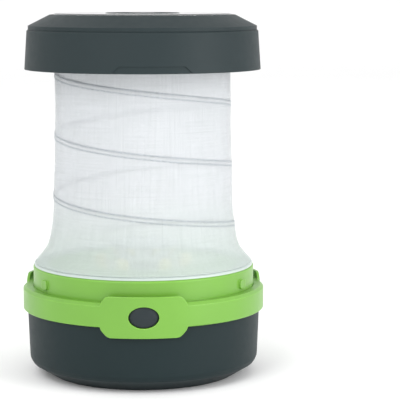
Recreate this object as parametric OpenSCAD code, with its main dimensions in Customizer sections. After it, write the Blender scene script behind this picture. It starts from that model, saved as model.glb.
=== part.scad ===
// Collapsible camping lantern with a pop-up fabric shade and a torch lens in its cap.
// Origin: centre of the foot. +Z is up and the power button faces -Y.

/* [Overall] */
// Height from the foot to the top of the torch ring
total_h = 130; // [120:1:150]

/* [Base] */
// Radius of the base where the trim ring sits
base_r = 42; // [41.5:0.5:46]
// Height of the dark base below the trim ring
base_h = 23.8; // [23:0.2:26]
// Wall thickness of the base
base_wall = 2; // [1.6:0.1:2.2]

/* [Trim ring] */
// How far the trim ring stands out from the base
ring_proud = 1.6; // [1.4:0.1:2.4]
// Height of the band of the trim ring
ring_h = 8.3; // [8:0.1:9]
// Widest width of one guard plate
plate_w = 30.2; // [27:0.1:34]
// Height of one guard plate
plate_h = 14.3; // [13:0.1:15]

/* [Collar] */
// Radius of the collar
collar_r = 39.9; // [39.5:0.1:39.9]
// Height of the top of the collar above the foot
collar_top = 39.5; // [39:0.1:40.5]

/* [Button] */
// Width of the power button
button_w = 10.2; // [8:0.2:11]
// Height of the power button
button_h = 7.1; // [6:0.1:7.2]

/* [Cap] */
// Outer radius of the cap at its lower rim
cap_r = 42.3; // [42.2:0.1:42.3]
// Height of the skirt of the cap
skirt_h = 14; // [13:0.5:15]
// Turn of the cap away from its locked place when the shade is up
cap_turn = 4.4; // [4:0.1:6]

/* [Shade] */
// Radius of the fabric shade below the cap
shade_r = 31.6; // [30.8:0.1:31.7]
// Rise of the coil in one turn
coil_pitch = 21.7; // [18:0.1:26]
// Diameter of the coil wire
coil_wire = 1.2; // [0.8:0.1:1.6]

/* [Battery door] */
// Radius of the flange of the battery door
door_r = 31.1; // [30.8:0.1:31.2]

/* [Hidden] */
$fn = 96;
clear = 0.1;
thirds = [0, 120, 240];
sixths = [30, 90, 150, 210, 270, 330];

// Base and ring
foot_r = base_r - 8.8;
foot_h = 4.6;
foot_corner_r = base_r - 1.4;
neck_r = base_r - 0.4;
neck_in = base_r - base_wall;
ring_r = base_r + ring_proud;
ring_top = base_h + ring_h;
lip_t = 1.2;
neck_top = ring_top - lip_t;

// Guard plates: half widths and heights, about the middle of the ring
plate_mid = base_h + 3.65;
plate_low = plate_mid - plate_h / 2;
plate_top = plate_mid + plate_h / 2;
plate_tip_low = plate_w / 2 - 2.7;
plate_tip_top = plate_w / 2 - 2.1;
plate_shoulder = 2.9;
plate_round = 1.3;

// Collar, deck and lugs
collar_wall = 1.6;
deck_t = 1.6;
deck_under = collar_top - deck_t;
deck_bore = 18;
lug_w = 3.8;
lug_h = 3.3;
lug_low = ring_top + 1.2;
lug_out = 0.7;
lug_round = 1.1;

// Button
button_z = plate_mid;
button_gap = 0.2;
flange_y = -(neck_in - 0.75);
flange_t = 1;

// Screw bosses that carry the collar
boss_r = 2.7;
boss_ring = base_r - 6.6;
boss_turns = [60, 180, 300];
boss_top = deck_under - 1.6;
pilot_r = 0.85;
screw_r = 0.84;
screw_clear_r = 1.1;
screw_head_r = 1.8;
screw_head_h = 1.2;

// Battery bay
door_bore = 29.4;
door_rim_h = 6;
door_recess_h = 1.4;
door_wall_t = 1.6;
cell_r = 5.2;
cell_len = 44.5;
cell_gap = 11;
cell_rows = [-1, 0, 1];
cell_z = door_rim_h + 0.5 + cell_r;
cradle_w = 54;
cradle_d = 35.2;
cradle_top = 18.4;
cradle_wall = 1.2;
contact_t = 0.4;
contact_x = cradle_w / 2 - cradle_wall - 0.3;
ear_x = 33.6;
ear_t = 1.6;
ear_r = 2.4;

// Circuit boards
board_z = 22.4;
board_t = 1.6;
board_r = 29;
board_top = board_z + board_t;
post_spots = [[-19, -13], [19, -13], [-19, 13], [19, 13]];
switch_front = 33.3;
switch_len = 4;
stem_r = 1.65;
plunger_out = 1.8;
plunger_len = 3.4;
led_board_r = 22;
led_board_t = 1.6;
led_board_z = deck_under - led_board_t;
led_ring = 15.2;
led_r = 2.3;
led_stem_h = 3;
led_screw_ring = 20.2;

// Torch reflector and window
reflector_z = deck_under + 0.1;
reflector_h = 8.4;
reflector_low = 4.4;
reflector_high = 12.2;
reflector_t = 0.8;
window_t = 0.9;

// Cap, from its rim up
cap_low = total_h - 20;
skirt_top = cap_low + skirt_h;
cap_wall = 1.4;
flange_bore = 34;
cap_flange_t = 1.6;
cap_flange_low = skirt_top - cap_flange_t;
skirt_r = cap_r - 0.9;
bezel_r = skirt_r - 0.5;
bezel_top = total_h - 0.7;
bezel_bore = 32;
cap_screw_ring = skirt_r - 4.2;
lens_flange_z = skirt_top + 2;
lens_flange_top = lens_flange_z + 1.3;
lens_top = total_h - 0.15;
lens_t = 2.05;
bull_r = 10.5;
bull_top_r = 180;
torch_in = bull_r + 0.3;
torch_out = bull_r + 2.7;
groove_z = lens_top - 0.6;
bull_under_r = 28;
mark_high = 11.2;
mark_low = 14;
mark_h = 2.5;
mark_depth = 0.45;
hook_w = 1.5;
hook_h = 0.6;

// Shade
hem_z = collar_top + 0.1;
clamp_t = 0.9;
clamp_in = 4.6;
shade_t = 0.5;
shade_top = skirt_top - 0.1;
coil_low = collar_top + 8;
coil_top = cap_flange_low - 2.7;
coil_turns = (coil_top - coil_low) / coil_pitch;
coil_start = 116;
// Outer radius and height of the shade, from its lower hem up to the cap
shade_line = [[shade_r + 7.6, hem_z + clamp_t + 0.1], [shade_r + 6, hem_z + 2.8], [shade_r + 4, hem_z + 5],
              [shade_r + 2.8, hem_z + 7.2], [shade_r + 1.9, hem_z + 11.4],
              [shade_r + 1.3, hem_z + 15.9], [shade_r + 0.8, hem_z + 20.4],
              [shade_r + 0.7, hem_z + 28.4], [shade_r + 0.3, hem_z + 39.5],
              [shade_r, hem_z + 52], [shade_r, shade_top]];

// ---------- Shared shapes ----------

// Outline with each corner cut back to an arc of radius r
function along(a, b, d) = a + (b - a) * d / norm(b - a);
function bend(a, b, c, t) = (1 - t) * (1 - t) * a + 2 * t * (1 - t) * b + t * t * c;
function rounded(pts, r) =
    let (n = len(pts))
    [for (i = [0 : n - 1])
        let (a = along(pts[i], pts[(i + n - 1) % n], r))
        let (c = along(pts[i], pts[(i + 1) % n], r))
        for (t = [0 : 0.25 : 1]) bend(a, pts[i], c, t)];

// Points of a circle of radius r about a point, square to a path that runs along the angle a
function wire_ring(ctr, a, r, sides) =
    [for (i = [0 : sides - 1])
        let (b = 360 * i / sides)
        ctr + r * [cos(b) * cos(a), cos(b) * sin(a), sin(b)]];

// Left-handed helix of round wire as one closed solid; radii lists [height, radius] pairs
module helix(radii, z0, pitch, turns, wire, sides, steps, start) {
    n = ceil(turns * steps);
    rings = [for (k = [0 : n])
        let (a = start - 360 * turns * k / n)
        let (z = z0 + pitch * turns * k / n)
        let (r = lookup(z, radii))
        wire_ring([r * cos(a), r * sin(a), z], a, wire / 2, sides)];
    pts = [for (ring = rings) each ring];
    walls = [for (k = [0 : n - 1], i = [0 : sides - 1])
        let (j = (i + 1) % sides)
        each [[k * sides + i, (k + 1) * sides + i, (k + 1) * sides + j],
              [k * sides + i, (k + 1) * sides + j, k * sides + j]]];
    ends = [[for (i = [0 : sides - 1]) i], [for (i = [sides - 1 : -1 : 0]) n * sides + i]];
    polyhedron(pts, concat(walls, ends));
}

// Ring with a rectangular section
module band(r_in, r_out, z_low, z_high) {
    translate([0, 0, z_low])
        difference() {
            cylinder(h = z_high - z_low, r = r_out);
            translate([0, 0, -1])
                cylinder(h = z_high - z_low + 2, r = r_in);
        }
}

// Places a child at a radius and a turn measured from the front
module around(turns, r) {
    for (a = turns)
        rotate([0, 0, a])
            translate([0, -r, 0])
                children();
}

// Pan head screw that points up from z = 0, with its head below
module screw(len) {
    cylinder(h = len, r = screw_r);
    translate([0, 0, -screw_head_h])
        difference() {
            cylinder(h = screw_head_h, r1 = screw_head_r - 0.3, r2 = screw_head_r);
            for (a = [0, 90])
                rotate([0, 0, a])
                    translate([-1, -0.2, -0.5])
                        cube([2, 0.4, 1]);
        }
}

// Oval block along Y, for the button and its hole
module oval(w, h, y_front, y_back) {
    translate([0, y_front, button_z])
        rotate([-90, 0, 0])
            scale([1, h / w, 1])
                cylinder(h = y_back - y_front, d = w);
}

// ---------- Base ----------

module base_shell() {
    outline = [[foot_r, 0], [foot_corner_r - 0.3, foot_h - 0.3], [foot_corner_r + 0.2, foot_h + 0.4],
               [base_r - 0.7, foot_h + 1.6], [base_r - 0.6, foot_h + 2.8], [base_r, base_h - 1.2],
               [base_r, base_h - 0.2], [neck_r, base_h - 0.2], [neck_r, neck_top],
               [neck_in, neck_top], [neck_in - 0.2, foot_h + 3.4], [foot_corner_r - 1.6, foot_h + 1.6],
               [foot_r + 0.4, 3], [door_bore + door_wall_t, 3], [door_bore + door_wall_t, door_rim_h],
               [door_bore, door_rim_h], [door_bore, door_recess_h], [door_r + 0.3, door_recess_h],
               [door_r + 0.3, 0]];
    color("#3a4649") difference() {
        union() {
            rotate_extrude() polygon(outline);
            around(boss_turns, boss_ring)
                translate([0, 0, 3.6])
                    cylinder(h = boss_top - 3.6, r = boss_r);
            for (x = [-ear_x, ear_x])
                translate([x, 0, 2.6])
                    cylinder(h = door_rim_h - 2.6, r = ear_r);
        }
        around(boss_turns, boss_ring)
            translate([0, 0, boss_top - 10])
                cylinder(h = 11, r = pilot_r);
        for (x = [-ear_x, ear_x])
            translate([x, 0, 2.8])
                cylinder(h = door_rim_h, r = pilot_r);
        oval(button_w + 2 * button_gap, button_h + 2 * button_gap, -base_r - 1, -neck_in + 3);
    }
}

module battery_cradle() {
    color("#22262a") difference() {
        union() {
            translate([-cradle_w / 2, -cradle_d / 2, door_rim_h])
                cube([cradle_w, cradle_d, cradle_top - door_rim_h]);
            for (x = [-ear_x, ear_x])
                translate([x, 0, door_rim_h])
                    cylinder(h = ear_t, r = ear_r);
            translate([-ear_x, -ear_r, door_rim_h])
                cube([2 * ear_x, 2 * ear_r, ear_t]);
            for (p = post_spots)
                translate([p[0], p[1], cradle_top - 1])
                    cylinder(h = board_z - cradle_top + 1, r = 2.3);
        }
        translate([-cradle_w / 2 + cradle_wall, -cradle_d / 2 + cradle_wall, door_rim_h - 1])
            cube([cradle_w - 2 * cradle_wall, cradle_d - 2 * cradle_wall,
                  cradle_top - cradle_wall - door_rim_h + 1]);
        for (x = [-ear_x, ear_x])
            translate([x, 0, door_rim_h - 1])
                cylinder(h = ear_t + 2, r = screw_clear_r);
        for (p = post_spots)
            translate([p[0], p[1], board_z - 3.8])
                cylinder(h = 5, r = pilot_r);
        for (s = [-1, 1])
            translate([s * contact_x - 0.5, -s * cell_gap - 2, cradle_top - 2])
                cube([1, 4, 3]);
    }
}

module battery_cells() {
    body = cell_len - 1.2;
    for (i = cell_rows)
        translate([0, i * cell_gap, cell_z])
            rotate([0, i == 0 ? -90 : 90, 0]) {
                color("#7d868c") translate([0, 0, -cell_len / 2])
                    cylinder(h = body - 1, r = cell_r);
                color("#c9cdd0") translate([0, 0, body - 1 - cell_len / 2])
                    cylinder(h = 1, r1 = cell_r, r2 = cell_r - 0.5);
                color("#c9cdd0") translate([0, 0, body - cell_len / 2])
                    cylinder(h = 1.2, r = 1.9);
            }
}

module battery_springs() {
    depth = contact_x - contact_t / 2 - cell_len / 2;
    color("#c4c8cc") for (i = cell_rows)
        translate([(i == 0 ? 1 : -1) * (cell_len / 2 + depth), i * cell_gap, cell_z])
            rotate([0, i == 0 ? -90 : 90, 0])
                helix([[0.35, 3.4], [depth, 1.8]], 0.35, (depth - 0.7) / 2.5, 2.5, 0.6, 6, 12, 0);
}

// Contact plates at the cell ends; the two outer ones carry a tab up to the driver board
module battery_contacts() {
    pip = contact_x - contact_t / 2 - cell_len / 2;
    color("#d2d0c4") for (s = [-1, 1]) {
        translate([s * contact_x - contact_t / 2, s > 0 ? -4 : -cell_gap - 4, cell_z - 4])
            cube([contact_t, cell_gap + 8, 8]);
        translate([s * contact_x - contact_t / 2, -s * cell_gap - 4, cell_z - 4])
            cube([contact_t, 8, 8]);
        translate([s * contact_x - contact_t / 2, -s * cell_gap - 1.5, cell_z + 3])
            cube([contact_t, 3, board_z - cell_z - 3]);
        for (i = s > 0 ? [-1, 1] : [0])
            translate([s * contact_x, i * cell_gap, cell_z])
                rotate([0, -s * 90, 0])
                    cylinder(h = pip + contact_t / 2 - 0.05, r1 = 2.6, r2 = 2);
    }
}

module cradle_screws() {
    color("#b9bec2") for (x = [-ear_x, ear_x])
        translate([x, 0, door_rim_h + ear_t])
            rotate([180, 0, 0])
                screw(4);
}

// ---------- Electronics ----------

module driver_board() {
    color("#2f6b46") difference() {
        union() {
            translate([0, 0, board_z])
                cylinder(h = board_t, r = board_r);
            translate([-6, -switch_front, board_z])
                cube([12, switch_front, board_t]);
        }
        for (p = post_spots)
            translate([p[0], p[1], board_z - 1])
                cylinder(h = board_t + 2, r = screw_clear_r);
    }
}

module board_components() {
    color("#26282b") translate([-9, 3, board_top])
        cube([6, 5, 1.5]);
    color("#34383c") translate([8, -6, board_top])
        cylinder(h = 7, r = 2.6);
    color("#4a4d50") translate([-11, -9, board_top])
        cube([6, 6, 2.8]);
    color("#c9c2b0") for (i = [0 : 3])
        translate([4 + 3 * i, 6, board_top])
            cube([1.6, 0.8, 0.6]);
}

module tact_switch() {
    color("#1d1f21") difference() {
        translate([-3.3, -switch_front, board_top])
            cube([6.6, switch_len, 7]);
        translate([0, -switch_front - 1, button_z])
            rotate([-90, 0, 0])
                cylinder(h = 3.8, r = stem_r + 0.06);
    }
}

module board_screws() {
    color("#b9bec2") {
        for (p = post_spots)
            translate([p[0], p[1], board_top])
                rotate([180, 0, 0])
                    screw(4.4);
        around(boss_turns, led_screw_ring)
            translate([0, 0, led_board_z])
                screw(led_board_t + 1.2);
    }
}

// Lead from the driver board up to the light board: a slack arc
module lead(x, y, tint) {
    rise = led_board_z - board_top;
    bow = 3;
    arc_r = (rise * rise / 4 + bow * bow) / (2 * bow);
    half = asin(rise / 2 / arc_r);
    color(tint) intersection() {
        translate([x, y - arc_r + bow, board_top + rise / 2])
            rotate([90, 0, 90])
                rotate([0, 0, -half - 10])
                    rotate_extrude(angle = 2 * half + 20)
                        translate([arc_r, 0])
                            circle(r = 0.6);
        translate([x - 1, y - 5, board_top])
            cube([2, 10, rise]);
    }
}

module lead_red() {
    lead(-4, 14, "#b8332b");
}

module lead_black() {
    lead(4, 14, "#1c1c1e");
}

module led_board() {
    color("#eceee9") difference() {
        translate([0, 0, led_board_z])
            cylinder(h = led_board_t, r = led_board_r);
        around(boss_turns, led_screw_ring)
            translate([0, 0, led_board_z - 1])
                cylinder(h = led_board_t + 2, r = screw_clear_r);
    }
}

module lantern_leds() {
    color("#f3eecb") around(sixths, led_ring)
        translate([0, 0, deck_under]) {
            cylinder(h = led_stem_h, r = led_r);
            translate([0, 0, led_stem_h])
                sphere(r = led_r);
        }
}

module torch_led() {
    color("#f0e39a") translate([0, 0, deck_under]) {
        translate([-2.5, -2.5, 0])
            cube([5, 5, 0.9]);
        intersection() {
            translate([0, 0, 0.4])
                sphere(r = 1.9);
            translate([-2, -2, 0.5])
                cube([4, 4, 2]);
        }
    }
}

// Bowl whose wall follows a parabola
module torch_reflector() {
    steps = 8;
    bowl = [for (i = [0 : steps])
        let (f = i / steps)
        [reflector_low + (reflector_high - reflector_low) * sqrt(f),
         reflector_z + 0.9 + (reflector_h - 0.9) * f]];
    outer = [for (i = [steps : -1 : 0]) [bowl[i][0] + reflector_t, bowl[i][1]]];
    color("#d9dde0") rotate_extrude()
        polygon(concat(bowl, outer, [[reflector_low + 2.2, reflector_z + 0.6],
                                     [reflector_low + 2.2, reflector_z],
                                     [reflector_low, reflector_z]]));
}

module torch_window() {
    z = reflector_z + reflector_h;
    color([0.85, 0.93, 0.95, 0.5]) rotate_extrude()
        polygon([[0, z], [reflector_high + 0.6, z], [reflector_high + 0.6, z + window_t - 0.3],
                 [reflector_high + 0.2, z + window_t], [0, z + window_t]]);
}

// ---------- Collar and trim ring ----------

module collar() {
    outline = [[deck_bore, deck_under], [collar_r - collar_wall - 0.8, deck_under],
               [collar_r - collar_wall, deck_under - 0.8], [collar_r - collar_wall, neck_top - 3.4],
               [collar_r - 0.15, neck_top - 3.4], [collar_r - 0.15, neck_top], [collar_r, neck_top],
               [collar_r, collar_top - 0.5], [collar_r - 0.5, collar_top], [deck_bore, collar_top]];
    color("#8ec864") difference() {
        union() {
            rotate_extrude() polygon(outline);
            around(boss_turns, collar_r)
                translate([0, lug_out, lug_low])
                    rotate([90, 0, 0])
                        linear_extrude(2 * lug_out)
                            polygon(rounded([[-lug_w / 2, 0], [lug_w / 2, 0], [lug_w / 2, lug_h],
                                             [-lug_w / 2, lug_h]], lug_round));
            around(boss_turns, boss_ring)
                translate([0, 0, boss_top + 0.1])
                    cylinder(h = deck_under - boss_top, r = boss_r);
        }
        around(boss_turns, boss_ring) {
            translate([0, 0, boss_top - 1])
                cylinder(h = 6, r = screw_clear_r);
            translate([0, 0, collar_top - screw_head_h - 0.1])
                cylinder(h = 3, r = screw_head_r + 0.2);
        }
        around(boss_turns, led_screw_ring)
            translate([0, 0, deck_under - 1])
                cylinder(h = 2.3, r = pilot_r);
        translate([-8, -collar_r - 1, neck_top - 4])
            cube([16, 6, lip_t + 3.9]);
    }
}

module collar_screws() {
    color("#b9bec2") around(boss_turns, boss_ring)
        translate([0, 0, collar_top - screw_head_h - 0.1])
            rotate([180, 0, 0])
                screw(8);
}

// One guard plate as a curved trapezoid between two radii
module plate(r_in, z_low, z_high) {
    wide = plate_w / 2;
    outline = rounded([[-plate_tip_low, plate_low], [plate_tip_low, plate_low],
                       [wide, plate_low + plate_shoulder], [wide, plate_top - plate_shoulder],
                       [plate_tip_top, plate_top], [-plate_tip_top, plate_top],
                       [-wide, plate_top - plate_shoulder], [-wide, plate_low + plate_shoulder]],
                      plate_round);
    intersection() {
        translate([0, -r_in / 2, 0])
            rotate([90, 0, 0])
                linear_extrude(ring_r)
                    polygon(outline);
        band(r_in, ring_r, z_low, z_high);
    }
}

module trim_ring() {
    inner = neck_r + clear;
    outline = [[inner, base_h], [ring_r - 0.3, base_h], [ring_r, base_h + 0.3],
               [ring_r, ring_top - 1], [ring_r - 1, ring_top], [collar_r + clear, ring_top],
               [collar_r + clear, neck_top + 0.05], [inner, neck_top + 0.05]];
    color("#8ec864") difference() {
        union() {
            rotate_extrude() polygon(outline);
            for (a = thirds)
                rotate([0, 0, a]) {
                    plate(base_r + 0.15, plate_low, base_h + 0.5);
                    plate(cap_r + 0.3, ring_top - 2, plate_top);
                    plate(inner + 0.5, base_h + 0.2, ring_top - 0.2);
                }
        }
        oval(button_w + 2 * button_gap, button_h + 2 * button_gap, -ring_r - 1, -neck_in);
    }
}

// Ring that holds the lower hem of the shade down on the deck
module shade_clamp_lower() {
    r = collar_r - 0.4;
    color("#f2f4f2") rotate_extrude()
        polygon([[r - clamp_in, collar_top], [r, collar_top], [r, hem_z + clamp_t - 0.4],
                 [r - 0.8, hem_z + clamp_t], [r - 3.2, hem_z + clamp_t], [r - clamp_in, hem_z + 0.4]]);
}

// ---------- Button ----------

module power_button() {
    dome_r = 12;
    color("#3e464c") {
        intersection() {
            oval(button_w, button_h, -ring_r, flange_y);
            translate([0, dome_r - ring_r, button_z])
                sphere(r = dome_r);
        }
        oval(button_w + 2.2, button_h + 1.1, flange_y, flange_y + flange_t);
        translate([0, flange_y + flange_t, button_z])
            rotate([-90, 0, 0])
                cylinder(h = -switch_front - plunger_out - flange_y - flange_t, r = 2.2);
    }
}

module switch_plunger() {
    color("#d8d4c8") translate([0, -switch_front - plunger_out, button_z])
        rotate([-90, 0, 0])
            cylinder(h = plunger_len, r = stem_r);
}

// ---------- Battery door ----------

module battery_door() {
    plug_r = door_bore - 0.2;
    outline = [[0, 0.3], [door_r - 0.4, 0.3], [door_r, 0.7], [door_r, door_recess_h - 0.1],
               [plug_r, door_recess_h - 0.1], [plug_r, 2.2], [plug_r - 1.3, 2.2], [plug_r - 1.3, 3.8],
               [plug_r, 3.8], [plug_r, 5], [plug_r - 2.4, 5], [plug_r - 2.4, 2.2], [0, 2.2]];
    color("#3a4649") difference() {
        rotate_extrude() polygon(outline);
        translate([-9, -1.1, -1])
            cube([18, 2.2, 2]);
        for (a = [0 : 30 : 150])
            rotate([0, 0, a + 15])
                for (s = [-1, 1])
                    translate([s * (door_r - 6) - 2, -0.5, -1])
                        cube([4, 1, 1.6]);
    }
}

module door_seal() {
    color("#1f2022") rotate_extrude()
        translate([door_bore - 0.78, 3])
            circle(r = 0.7);
}

// ---------- Shade ----------

module shade_fabric() {
    inner = [for (i = [len(shade_line) - 1 : -1 : 0]) [shade_line[i][0] - shade_t, shade_line[i][1]]];
    color([0.9, 0.92, 0.93, 0.9]) rotate_extrude() polygon(concat(shade_line, inner));
}

// Spring coil that runs just inside the fabric
module shade_coil() {
    inset = shade_t + coil_wire / 2 + 0.25;
    radii = [for (p = shade_line) [p[1], p[0] - inset]];
    color("#aab0b3") helix(radii, coil_low, coil_pitch, coil_turns, coil_wire, 8, 24, coil_start);
}

module shade_clamp_upper() {
    r = shade_r - 0.6;
    color("#f2f4f2") rotate_extrude()
        polygon([[r - 1.2, skirt_top + 1], [r - 1.2, cap_flange_low - 1.4], [r - 0.8, cap_flange_low - 1.9],
                 [r, cap_flange_low - 1.9], [r, skirt_top], [flange_bore + 0.9, skirt_top],
                 [flange_bore + 0.9, skirt_top + 1]]);
}

// ---------- Cap ----------

// Trapezoid alignment mark sunk into the skirt of the cap
module cap_mark() {
    intersection() {
        translate([0, -cap_r / 2, cap_low])
            rotate([90, 0, 0])
                linear_extrude(cap_r)
                    polygon([[-mark_low, -1], [mark_low, -1], [mark_low, 0], [mark_high, mark_h],
                             [-mark_high, mark_h], [-mark_low, 0]]);
        band(cap_r - mark_depth, cap_r + 1, cap_low - 1, cap_low + mark_h + 1);
    }
}

module cap_shell() {
    outline = [[cap_r - cap_wall, cap_low], [cap_r, cap_low], [skirt_r, skirt_top - 0.4],
               [skirt_r - 0.4, skirt_top], [flange_bore, skirt_top], [flange_bore, cap_flange_low],
               [skirt_r - cap_wall - 0.9, cap_flange_low], [skirt_r - cap_wall - 0.1, cap_flange_low - 0.8],
               [cap_r - cap_wall - 0.1, cap_low + 8]];
    color("#404b4c") rotate([0, 0, cap_turn]) difference() {
        union() {
            rotate_extrude() polygon(outline);
            around(boss_turns, cap_r - cap_wall)
                translate([-hook_w / 2, -0.3, cap_low])
                    cube([hook_w, 1.05, hook_h]);
        }
        for (a = thirds)
            rotate([0, 0, a])
                cap_mark();
        around(sixths, cap_screw_ring)
            translate([0, 0, cap_flange_low - 1])
                cylinder(h = cap_flange_t + 2, r = screw_clear_r);
    }
}

module cap_screws() {
    color("#b9bec2") rotate([0, 0, cap_turn])
        around(sixths, cap_screw_ring)
            translate([0, 0, cap_flange_low])
                screw(3.2);
}

module lens_gasket() {
    color("#1f2022") band(bezel_bore, flange_bore + 0.2, skirt_top + 1, lens_flange_z);
}

module top_lens() {
    wall_in = bezel_bore - 1.6;
    color([0.9, 0.95, 0.97, 0.4]) {
        rotate_extrude()
            polygon([[bull_r - 0.5, lens_top], [torch_in, lens_top], [torch_in, groove_z],
                     [torch_out, groove_z], [torch_out, lens_top], [bezel_bore - 0.6, lens_top],
                     [bezel_bore - 0.2, lens_top - 0.4], [bezel_bore - 0.2, lens_flange_top],
                     [flange_bore + 0.3, lens_flange_top], [flange_bore + 0.3, lens_flange_z],
                     [wall_in, lens_flange_z],
                     [wall_in, lens_top - lens_t], [bull_r - 0.5, lens_top - lens_t]]);
        intersection() {
            translate([0, 0, lens_top - lens_t - 3])
                cylinder(h = 8, r = bull_r);
            translate([0, 0, total_h - 0.05 - bull_top_r])
                sphere(r = bull_top_r);
            translate([0, 0, lens_top - lens_t - 2 + bull_under_r])
                sphere(r = bull_under_r);
        }
    }
}

module cap_bezel() {
    rim_in = flange_bore + 1;
    rim_out = skirt_r - 2.5;
    outline = [[bezel_r, skirt_top + 0.05], [bezel_r, skirt_top + 1.4], [bezel_bore + 1.2, bezel_top],
               [bezel_bore, bezel_top], [bezel_bore, lens_flange_top + 0.1],
               [rim_in, lens_flange_top + 0.1], [rim_in, skirt_top], [rim_in + 1.2, skirt_top],
               [rim_in + 1.2, skirt_top + 2.6], [rim_out, skirt_top + 1.2], [rim_out, skirt_top + 0.05]];
    color("#444f50") rotate([0, 0, cap_turn]) difference() {
        union() {
            rotate_extrude() polygon(outline);
            around(sixths, cap_screw_ring)
                translate([0, 0, skirt_top])
                    cylinder(h = 2.2, r = 1.9);
        }
        around(sixths, cap_screw_ring)
            translate([0, 0, skirt_top - 1])
                cylinder(h = 3, r = pilot_r);
    }
}

// Ring that sits in a groove of the lens, round the bull's-eye
module torch_ring() {
    side = clear / 2;
    color("#3b4547") rotate_extrude()
        polygon([[torch_in + side, groove_z], [torch_in + side, total_h - side], [torch_in + 0.3, total_h],
                 [torch_out - 0.3, total_h], [torch_out - side, total_h - side],
                 [torch_out - side, groove_z]]);
}

// ---------- Placement ----------

base_shell();
battery_cradle();
battery_cells();
battery_springs();
battery_contacts();
cradle_screws();
driver_board();
board_components();
tact_switch();
board_screws();
lead_red();
lead_black();
led_board();
lantern_leds();
torch_led();
torch_reflector();
torch_window();
collar();
collar_screws();
trim_ring();
shade_clamp_lower();
power_button();
switch_plunger();
battery_door();
door_seal();
shade_fabric();
shade_coil();
shade_clamp_upper();
cap_shell();
cap_screws();
lens_gasket();
top_lens();
cap_bezel();
torch_ring();
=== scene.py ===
import math

import bpy
import numpy as np
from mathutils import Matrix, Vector


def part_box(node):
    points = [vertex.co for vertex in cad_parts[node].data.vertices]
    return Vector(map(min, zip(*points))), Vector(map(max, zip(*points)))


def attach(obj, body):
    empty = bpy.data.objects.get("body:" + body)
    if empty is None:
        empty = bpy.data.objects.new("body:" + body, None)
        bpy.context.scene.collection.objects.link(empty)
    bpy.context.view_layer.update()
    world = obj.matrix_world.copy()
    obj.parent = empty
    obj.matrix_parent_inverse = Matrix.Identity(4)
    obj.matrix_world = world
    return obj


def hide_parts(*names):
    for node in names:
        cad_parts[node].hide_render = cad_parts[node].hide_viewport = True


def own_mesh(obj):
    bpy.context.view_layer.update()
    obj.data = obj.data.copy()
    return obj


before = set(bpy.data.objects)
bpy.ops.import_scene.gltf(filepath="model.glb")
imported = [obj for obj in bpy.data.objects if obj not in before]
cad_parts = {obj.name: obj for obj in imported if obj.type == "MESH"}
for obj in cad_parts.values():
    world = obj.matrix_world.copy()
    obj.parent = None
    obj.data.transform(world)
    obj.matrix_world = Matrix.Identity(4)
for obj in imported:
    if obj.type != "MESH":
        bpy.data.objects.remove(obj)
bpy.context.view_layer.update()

MM = 0.001

# Camera, in the row frame: a long lens a little above the cap, pointed slightly down and right
CAMERA_DISTANCE = 0.610
CAMERA_HEIGHT = 0.1384
CAMERA_PITCH = 7.1
CAMERA_YAW = 1.93
CAMERA_LENS = 152.6

# Spring coil of the shade, as the CAD design has it
COIL_PITCH = 21.7 * MM
COIL_START = math.radians(116)
COIL_WIRE = 1.2 * MM
COIL_STEPS = 48          # round one turn

# Distance past each end of the wire over which its channel fades out
FADE_LOW = 3 * MM
FADE_TOP = 2 * MM

# Cloth of the shade: its thickness, its mesh and its woven threads
CLOTH = 0.3 * MM
CLOTH_ROW = 0.3 * MM
CLOTH_COLUMNS = 240
THREAD = 0.36 * MM

# How the cloth lies: raised over the wire, drawn in between its turns, and slightly uneven
TUBE_RISE = 0.14 * MM
TUBE_WIDTH = 0.6 * MM
SAG = 0.12 * MM
RIPPLE = 0.011 * MM

# The channel that holds the wire, and the two rows of stitches that close it
CHANNEL_DROP = 0.5 * MM
CHANNEL_HALF = 0.75 * MM
STITCH_LENGTH = 1.7 * MM
STITCH_GAP = 0.5 * MM
STITCH_RADIUS = 0.11 * MM
UPPER_LINE = 0.3 * MM    # widths of the two darker lines along the stitches
LOWER_LINE = 0.34 * MM
LINE_DARKNESS = 0.35

# Height above the hem at which the painted green glow, standing in for the deck's green light seen through
# the cloth, has faded out
GLOW_RISE = 26 * MM

LIGHT_TARGET = (0, 0, 0.065)


# ---------- Helpers ----------

def linear(red, green, blue):
    """An sRGB colour, 0 to 255, as the linear colour that shaders use."""
    parts = [c / 255 for c in (red, green, blue)]
    return tuple(c / 12.92 if c <= 0.04045 else ((c + 0.055) / 1.055) ** 2.4 for c in parts) + (1.0,)


def mesh_piece(name, points, faces):
    """A new smooth-shaded mesh object in the scene."""
    mesh = bpy.data.meshes.new(name)
    mesh.from_pydata([tuple(p) for p in points], [], faces)
    mesh.update()
    mesh.polygons.foreach_set("use_smooth", [True] * len(mesh.polygons))
    piece = bpy.data.objects.new(name, mesh)
    bpy.context.scene.collection.objects.link(piece)
    return piece


def grid_faces(rows, columns):
    """Quads of a grid whose columns run right round a tube."""
    faces = []
    for i in range(rows - 1):
        for j in range(columns):
            k = (j + 1) % columns
            faces.append((i * columns + j, i * columns + k, (i + 1) * columns + k, (i + 1) * columns + j))
    return faces


def solidify(piece, thickness):
    """Gives a sheet its thickness, as real geometry."""
    modifier = piece.modifiers.new("thickness", "SOLIDIFY")
    modifier.thickness = thickness
    modifier.offset = 0
    bpy.context.view_layer.objects.active = piece
    bpy.ops.object.modifier_apply(modifier=modifier.name)


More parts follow.
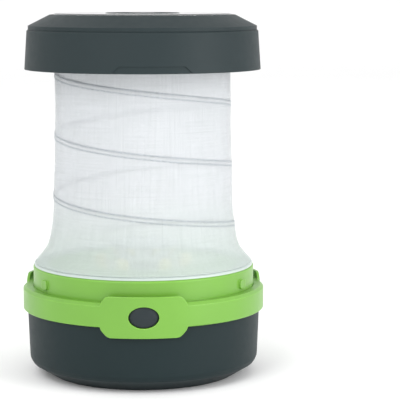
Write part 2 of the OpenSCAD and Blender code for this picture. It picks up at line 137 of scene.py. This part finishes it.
class Shader:
    """A material with one Principled shader and short calls that add nodes."""

    def __init__(self, name):
        self.material = bpy.data.materials.new(name)
        self.material.use_nodes = True
        self.tree = self.material.node_tree
        self.bsdf = self.tree.nodes["Principled BSDF"]
        self.place = self.add("ShaderNodeTexCoord").outputs["Object"]

    def add(self, kind, **settings):
        node = self.tree.nodes.new(kind)
        for key, value in settings.items():
            setattr(node, key, value)
        return node

    def link(self, source, target):
        self.tree.links.new(source, target)

    def set(self, **values):
        for key, value in values.items():
            self.bsdf.inputs[key.replace("_", " ")].default_value = value

    def noise(self, scale, detail=2.0, vector=None):
        node = self.add("ShaderNodeTexNoise")
        node.inputs["Scale"].default_value = scale
        node.inputs["Detail"].default_value = detail
        self.link(vector or self.place, node.inputs["Vector"])
        return node.outputs["Fac"]

    def slub(self, uv, scale):
        """Uneven thickness of threads that run one way, as noise stretched along them."""
        stretch = self.add("ShaderNodeVectorMath", operation="MULTIPLY")
        stretch.inputs[1].default_value = scale
        self.link(uv, stretch.inputs[0])
        return self.ramp(self.noise(1.0, 1.0, stretch.outputs["Vector"]), 0.55, 1.35)

    def math(self, operation, first, second=None, clamp=False):
        node = self.add("ShaderNodeMath", operation=operation, use_clamp=clamp)
        for socket, value in zip(node.inputs, (first, second)):
            if isinstance(value, (int, float)):
                socket.default_value = value
            elif value is not None:
                self.link(value, socket)
        return node.outputs[0]

    def ramp(self, source, low, high):
        """source, from 0 to 1, spread from low to high."""
        node = self.add("ShaderNodeMapRange")
        node.inputs["To Min"].default_value = low
        node.inputs["To Max"].default_value = high
        self.link(source, node.inputs["Value"])
        return node.outputs[0]

    def mix(self, share, first, second):
        node = self.add("ShaderNodeMix", data_type="RGBA")
        self.link(share, node.inputs["Factor"])
        for socket, value in ((node.inputs["A"], first), (node.inputs["B"], second)):
            if isinstance(value, tuple):
                socket.default_value = value
            else:
                self.link(value, socket)
        return node.outputs["Result"]

    def bump(self, height, distance, strength=1.0, normal=None):
        node = self.add("ShaderNodeBump")
        node.inputs["Strength"].default_value = strength
        node.inputs["Distance"].default_value = distance
        self.link(height, node.inputs["Height"])
        if normal is not None:
            self.link(normal, node.inputs["Normal"])
        return node.outputs["Normal"]

    def soft_edge(self, radius):
        """Normals that round off sharp edges, and a mask that is 1 on those edges."""
        bevel = self.add("ShaderNodeBevel", samples=6)
        bevel.inputs["Radius"].default_value = radius
        true_normal = self.add("ShaderNodeNewGeometry").outputs["Normal"]
        dot = self.add("ShaderNodeVectorMath", operation="DOT_PRODUCT")
        self.link(bevel.outputs["Normal"], dot.inputs[0])
        self.link(true_normal, dot.inputs[1])
        turned = self.math("SUBTRACT", 1.0, dot.outputs["Value"])
        return bevel.outputs["Normal"], self.math("MULTIPLY", turned, 5.0, clamp=True)


def give(material, *nodes):
    """Puts a material on carried-over CAD nodes or on pieces."""
    for node in nodes:
        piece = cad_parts[node] if isinstance(node, str) else node
        piece.data.materials.clear()
        piece.data.materials.append(material)


# ---------- Materials ----------

def moulded(name, colour, roughness, grain=0.35, wear_and_highlight=0.35, edge=0.25 * MM, coat=0.0, gloss=0.45):
    """Injection-moulded plastic: fine spark-eroded grain, soft mottling, and brighter edges that are partly
    wear and partly painted highlight.
    """
    s = Shader(name)
    s.set(Coat_Weight=coat, Coat_Roughness=0.25, Specular_IOR_Level=gloss)
    normal, edges = s.soft_edge(edge)
    mottle = s.noise(60, 3)
    dark = tuple(c * 0.90 for c in colour[:3]) + (1.0,)
    light = tuple(min(1.0, c * 1.08) for c in colour[:3]) + (1.0,)
    # Edges painted lighter in patches: partly wear, partly a painted highlight where the edges would catch
    # the light
    worn_and_lit = tuple(min(1.0, c * 1.7 + 0.02) for c in colour[:3]) + (1.0,)
    body = s.mix(mottle, dark, light)
    worn_and_lit_mask = s.math("MULTIPLY", edges, s.ramp(s.noise(220, 3), 0.0, wear_and_highlight * 2))
    s.link(s.mix(worn_and_lit_mask, body, worn_and_lit), s.bsdf.inputs["Base Color"])
    s.link(s.ramp(s.noise(400, 4), roughness - 0.06, roughness + 0.08), s.bsdf.inputs["Roughness"])
    s.link(s.bump(s.noise(3200, 2), 0.03 * MM, grain, normal), s.bsdf.inputs["Normal"])
    return s.material


def metal(name, colour, roughness, scratch=600):
    """Plated or drawn metal with fine uneven brightness."""
    s = Shader(name)
    s.set(Metallic=1.0)
    tone = s.noise(scratch, 4)
    s.link(s.mix(tone, tuple(c * 0.8 for c in colour[:3]) + (1.0,), colour), s.bsdf.inputs["Base Color"])
    s.link(s.ramp(s.noise(scratch * 3, 2), roughness * 0.7, roughness * 1.4), s.bsdf.inputs["Roughness"])
    s.link(s.bump(tone, 0.01 * MM, 0.3), s.bsdf.inputs["Normal"])
    return s.material


def clear_plastic(name, tint, roughness):
    """Clear moulding with faint flow marks."""
    s = Shader(name)
    s.set(Transmission_Weight=0.92, IOR=1.46, Specular_IOR_Level=0.5)
    s.link(s.mix(s.noise(30, 2), tint, (1.0, 1.0, 1.0, 1.0)), s.bsdf.inputs["Base Color"])
    s.link(s.ramp(s.noise(500, 3), roughness * 0.6, roughness * 1.5), s.bsdf.inputs["Roughness"])
    s.link(s.bump(s.noise(90, 2), 0.02 * MM, 0.25), s.bsdf.inputs["Normal"])
    return s.material


def woven(name, colour, seam_colour, painted_glow_colour, hem):
    """Sheer woven nylon: fine threads with open gaps, darker lines along the wire channel, and a painted
    green glow near the hem.
    """
    s = Shader(name)
    s.set(Transmission_Weight=0.20, IOR=1.06, Sheen_Weight=0.25, Sheen_Roughness=0.4, Specular_IOR_Level=0.25)
    uv = s.add("ShaderNodeUVMap", uv_map="weave").outputs["UV"]
    split = s.add("ShaderNodeSeparateXYZ")
    s.link(uv, split.inputs[0])
    turns = 2 * math.pi / THREAD
    warp = s.math("SINE", s.math("MULTIPLY", split.outputs["X"], turns))
    weft = s.math("SINE", s.math("MULTIPLY", split.outputs["Y"], turns))
    threads = s.math("MULTIPLY_ADD", s.math("MAXIMUM", warp, weft), 0.5)
    threads.node.inputs[2].default_value = 0.5
    shade = tuple(c * 0.90 for c in colour[:3]) + (1.0,)
    cloth = s.mix(s.ramp(threads, 0.3, 1.0), shade, colour)
    along, across = 50, 2400
    slubs = s.math("MULTIPLY", s.slub(uv, (along, across, 1)), s.slub(uv, (across, along, 1)))
    cloth = s.mix(s.ramp(slubs, 0.0, 1.0), shade, cloth)
    # Painted green glow near the hem, standing in for the green light of the deck seen through the cloth
    above = s.math("SUBTRACT", hem + GLOW_RISE, split.outputs["Y"])
    cloth = s.mix(s.math("MULTIPLY", above, 1 / GLOW_RISE, clamp=True), cloth, painted_glow_colour)
    seam = s.add("ShaderNodeAttribute", attribute_name="seam").outputs["Fac"]
    s.link(s.mix(seam, cloth, seam_colour), s.bsdf.inputs["Base Color"])
    gap_cover, thread_cover = 0.0, 0.60
    cover = s.math("ADD", s.ramp(threads, gap_cover, thread_cover), s.ramp(slubs, -0.08, 0.15))
    s.link(s.math("MAXIMUM", cover, seam, clamp=True), s.bsdf.inputs["Alpha"])
    s.link(s.ramp(s.noise(700, 3), 0.50, 0.68), s.bsdf.inputs["Roughness"])
    s.link(s.bump(threads, 0.05 * MM, 0.35), s.bsdf.inputs["Normal"])
    return s.material


def plain_parts():
    """Materials of the CAD nodes that keep their shape."""
    base_grey = moulded("base_grey", linear(27, 40, 42), 0.50, gloss=0.18)
    cap_grey = moulded("cap_grey", linear(38, 48, 50), 0.50, gloss=0.18)
    green = moulded("lime_green", linear(107, 160, 54), 0.36, grain=0.15, wear_and_highlight=0.9, edge=0.5 * MM, coat=0.15)
    button = moulded("button_grey", linear(32, 41, 44), 0.38, gloss=0.3, grain=0.5)
    white = moulded("clamp_white", linear(186, 197, 193), 0.4, grain=0.15, wear_and_highlight=0.1)
    black = moulded("black_plastic", linear(34, 36, 38), 0.45)
    rubber = moulded("seal_black", linear(28, 28, 29), 0.7, grain=0.6)
    steel = metal("steel", linear(190, 194, 197), 0.3)
    nickel = metal("contact_plate", linear(205, 200, 186), 0.25)
    chrome = metal("mirror_chrome", linear(230, 232, 234), 0.08, scratch=60)
    clear = clear_plastic("clear_lens", linear(240, 248, 250), 0.06)
    board = moulded("board_green", linear(38, 104, 66), 0.35, grain=0.2)
    light_board = moulded("board_white", linear(236, 238, 232), 0.35, grain=0.1)
    epoxy = moulded("led_epoxy", linear(240, 226, 150), 0.2, grain=0.0)
    sleeve = moulded("cell_sleeve", linear(132, 140, 146), 0.3, grain=0.1)
    red = moulded("wire_red", linear(178, 44, 36), 0.4)
    dark = moulded("wire_black", linear(30, 30, 32), 0.4)
    cream = moulded("plunger_cream", linear(214, 208, 192), 0.5)
    give(base_grey, "base_shell", "battery_door")
    give(cap_grey, "cap_shell", "cap_bezel", "torch_ring")
    give(green, "collar", "trim_ring")
    give(button, "power_button")
    give(white, "shade_clamp_lower", "shade_clamp_upper")
    give(black, "battery_cradle", "board_components", "tact_switch")
    give(rubber, "door_seal", "lens_gasket")
    give(steel, "battery_springs", "cradle_screws", "board_screws", "collar_screws", "cap_screws")
    give(nickel, "battery_contacts")
    give(chrome, "torch_reflector")
    give(clear, "top_lens", "torch_window")
    give(board, "driver_board")
    give(light_board, "led_board")
    give(epoxy, "lantern_leds", "torch_led")
    give(sleeve, "battery_cells")
    give(red, "lead_red")
    give(dark, "lead_black")
    give(cream, "switch_plunger")


# ---------- Shade ----------

def shade_outline():
    """Heights and outer radii of the shade's CAD solid, from its hem up."""
    rings = {}
    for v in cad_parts["shade_fabric"].data.vertices:
        z = round(v.co.z, 4)
        rings[z] = max(rings.get(z, 0.0), math.hypot(v.co.x, v.co.y))
    heights = np.array(sorted(rings))
    return heights, np.array([rings[z] for z in heights])


def bell(x, width):
    return np.exp(-(x / width) ** 2)


class Shade:
    """Where the cloth and the wire of the shade lie, worked out from their CAD solids."""

    def __init__(self):
        self.heights, self.radii = shade_outline()
        self.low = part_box("shade_coil")[0].z + COIL_WIRE / 2
        self.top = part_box("shade_coil")[1].z - COIL_WIRE / 2
        self.turns = (self.top - self.low) / COIL_PITCH
        # Averaging over a short window takes the corners off the outline of the CAD solid
        steps, window = 280, 15
        self.fine = np.linspace(self.heights[0], self.heights[-1], steps)
        line = np.interp(self.fine, self.heights, self.radii)
        padded = np.pad(line, window // 2, mode="reflect", reflect_type="odd")
        self.line = np.convolve(padded, np.ones(window) / window, "valid")
        rng = np.random.default_rng(7)
        self.waves = [(k, rng.normal(), rng.uniform(0, 2 * math.pi), 20 * rng.normal()) for k in range(5, 22)]

    def offset(self, angle, z):
        """Height above the middle of the nearest turn of the channel, up to half a pitch either way."""
        turn = (COIL_START - angle) / (2 * math.pi)
        rise = (z + CHANNEL_DROP - self.low) / COIL_PITCH - turn
        return (rise - np.round(rise)) * COIL_PITCH

    def on_coil(self, z):
        """1 beside the wire, falling to 0 past its two ends."""
        below = np.clip((z - self.low + FADE_LOW) / FADE_LOW, 0, 1)
        above = np.clip((self.top + FADE_TOP - z) / FADE_TOP, 0, 1)
        return below * above

    def radius(self, angle, z):
        """Radius of the middle of the cloth: taut between the turns, raised over the wire."""
        off = self.offset(angle, z)
        tube = TUBE_RISE * bell(off, TUBE_WIDTH) * self.on_coil(z)
        sag = SAG * (np.cos(off / COIL_PITCH * math.pi) ** 2 - 1)
        ripple = sum(a * np.cos(k * angle + p + t * z) for k, a, p, t in self.waves) * RIPPLE
        return np.interp(z, self.fine, self.line) - CLOTH / 2 + tube + sag + ripple


def make_cloth(shade):
    """The woven cloth: one sheet sewn into a tube."""
    columns = CLOTH_COLUMNS
    rows = int((shade.heights[-1] - shade.heights[0]) / CLOTH_ROW)
    z = np.linspace(shade.heights[0], shade.heights[-1], rows)[:, None]
    angle = np.linspace(0, 2 * math.pi, columns, endpoint=False)[None, :]
    radius = shade.radius(angle, z)
    points = np.stack([radius * np.cos(angle), radius * np.sin(angle), z + 0 * angle], -1).reshape(-1, 3)
    cloth = mesh_piece("shade_cloth", points, grid_faces(rows, columns))
    off = shade.offset(angle, z)
    lines = bell(off - CHANNEL_HALF, UPPER_LINE) + bell(off + CHANNEL_HALF, LOWER_LINE)
    dark = np.clip(LINE_DARKNESS * lines, 0, 1) * shade.on_coil(z)
    seam = cloth.data.attributes.new("seam", "FLOAT", "POINT")
    seam.data.foreach_set("value", dark.astype(np.float32).reshape(-1))
    uv = cloth.data.uv_layers.new(name="weave")
    around = 2 * math.pi * float(shade.radii.min()) / columns
    for loop in cloth.data.loops:
        row, column = divmod(loop.vertex_index, columns)
        uv.data[loop.index].uv = (column * around, float(z[row, 0]))
    solidify(cloth, CLOTH)
    nylon = woven("shade_nylon", colour=linear(220, 223, 226), seam_colour=linear(150, 158, 166),
                  painted_glow_colour=linear(209, 219, 215), hem=float(shade.heights[0]))
    give(nylon, cloth)
    return cloth


def make_stitches(shade):
    """Two rows of running stitches, above and below the wire, that close its channel."""
    length = shade.turns * 2 * math.pi * float(shade.radii.min())
    count = int(length / (STITCH_LENGTH + STITCH_GAP))
    stops, sides = 5, 6
    arch, dip = 1.6, 0.8         # in radii of the thread, so that both ends go into the cloth
    points, faces = [], []
    for side in (-1, 1):
        for k in range(count):
            first = len(points)
            for i in range(stops):
                share = i / (stops - 1)
                turn = (k + share * STITCH_LENGTH / (STITCH_LENGTH + STITCH_GAP)) / count * shade.turns
                angle = COIL_START - 2 * math.pi * turn
                z = shade.low + COIL_PITCH * turn - CHANNEL_DROP + side * CHANNEL_HALF
                proud = STITCH_RADIUS * (arch * math.sin(math.pi * share) - dip)
                centre = float(shade.radius(angle, z)) + CLOTH / 2 + proud
                for j in range(sides):
                    b = 2 * math.pi * j / sides
                    r = centre + STITCH_RADIUS * math.cos(b)
                    points.append((r * math.cos(angle), r * math.sin(angle), z + STITCH_RADIUS * math.sin(b)))
            faces += [tuple(first + v for v in face) for face in grid_faces(stops, sides)]
            faces.append(tuple(range(first + sides - 1, first - 1, -1)))
            faces.append(tuple(range(first + (stops - 1) * sides, first + stops * sides)))
    stitches = mesh_piece("shade_stitches", points, faces)
    give(moulded("stitch_thread", linear(158, 165, 172), 0.7, grain=0.6), stitches)
    return stitches


def make_shade():
    """The cloth, its stitches and the wire, put on the shade body in place of the CAD solids."""
    shade = Shade()
    cloth = make_cloth(shade)
    stitches = make_stitches(shade)
    wire = make_coil(shade)
    # Each piece with the height of its top: the cloth's at the cap, the wire's under the upper clamp; these
    # heights are not used below
    tops = ((cloth, shade.heights[-1]), (stitches, shade.heights[-1]), (wire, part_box("shade_coil")[1].z))
    for piece, top in tops:
        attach(piece, "shade")
        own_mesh(piece)
    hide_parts("shade_fabric")
    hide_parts("shade_coil")


def make_coil(shade):
    """Spring wire that climbs inside the channel of the shade."""
    steps, sides = int(shade.turns * COIL_STEPS), 10
    points = []
    for k in range(steps + 1):
        share = k / steps
        angle = COIL_START - 2 * math.pi * shade.turns * share
        z = shade.low + (shade.top - shade.low) * share
        centre = float(np.interp(z, shade.heights, shade.radii)) - CLOTH - 0.75 * COIL_WIRE
        for i in range(sides):
            b = 2 * math.pi * i / sides
            r = centre + COIL_WIRE / 2 * math.cos(b)
            points.append((r * math.cos(angle), r * math.sin(angle), z + COIL_WIRE / 2 * math.sin(b)))
    faces = grid_faces(steps + 1, sides)
    faces.append(tuple(range(sides - 1, -1, -1)))
    faces.append(tuple(range(steps * sides, (steps + 1) * sides)))
    wire = mesh_piece("shade_coil_wire", points, faces)
    give(metal("coil_wire", linear(218, 221, 224), 0.35), wire)
    return wire


# ---------- Stage ----------

def make_stage():
    """A pale floor that turns up into a backdrop far behind the lantern."""
    width, front, back, bend, wall = 4.0, -2.0, 2.2, 0.8, 2.5
    line = [(front, 0.0), (back, 0.0)]
    line += [(back + bend * math.sin(a), bend * (1 - math.cos(a))) for a in np.linspace(0.1, math.pi / 2, 12)]
    line.append((back + bend, bend + wall))
    points = [(x, y, z) for y, z in line for x in (-width, width)]
    faces = [(2 * i, 2 * i + 1, 2 * i + 3, 2 * i + 2) for i in range(len(line) - 1)]
    floor = mesh_piece("floor", points, faces)
    s = Shader("floor")
    s.link(s.mix(s.noise(3, 2), (0.93, 0.93, 0.93, 1), (0.96, 0.96, 0.96, 1)), s.bsdf.inputs["Base Color"])
    s.set(Roughness=0.9, Specular_IOR_Level=0.1)
    give(s.material, floor)


def area_light(name, place, size, power):
    light = bpy.data.lights.new(name, "AREA")
    light.shape = "RECTANGLE"
    light.size, light.size_y = size
    light.energy = power
    lamp = bpy.data.objects.new(name, light)
    lamp.location = place
    aim = [t - p for t, p in zip(LIGHT_TARGET, place)]
    lamp.rotation_euler = Vector(aim).to_track_quat("-Z", "Y").to_euler()
    bpy.context.scene.collection.objects.link(lamp)


def make_light():
    world = bpy.data.worlds.new("studio")
    world.use_nodes = True
    background = world.node_tree.nodes["Background"]
    background.inputs["Color"].default_value = (1, 1, 1, 1)
    background.inputs["Strength"].default_value = 1.05
    bpy.context.scene.world = world
    bpy.context.scene.view_settings.view_transform = "Standard"
    area_light("key", (-0.5, -0.8, 0.75), (0.6, 0.6), 5.0)
    area_light("fill", (0.8, -0.5, 0.35), (0.5, 0.7), 5.0)


def make_camera():
    data = bpy.data.cameras.new("camera")
    data.lens = CAMERA_LENS
    data.sensor_width = 36
    data.clip_start = 0.01
    camera = bpy.data.objects.new("camera", data)
    camera.location = (0, -CAMERA_DISTANCE, CAMERA_HEIGHT)
    camera.rotation_euler = (math.radians(90 - CAMERA_PITCH), 0, math.radians(-CAMERA_YAW))
    bpy.context.scene.collection.objects.link(camera)
    bpy.context.scene.camera = camera


make_camera()
make_light()
make_stage()
plain_parts()
make_shade()
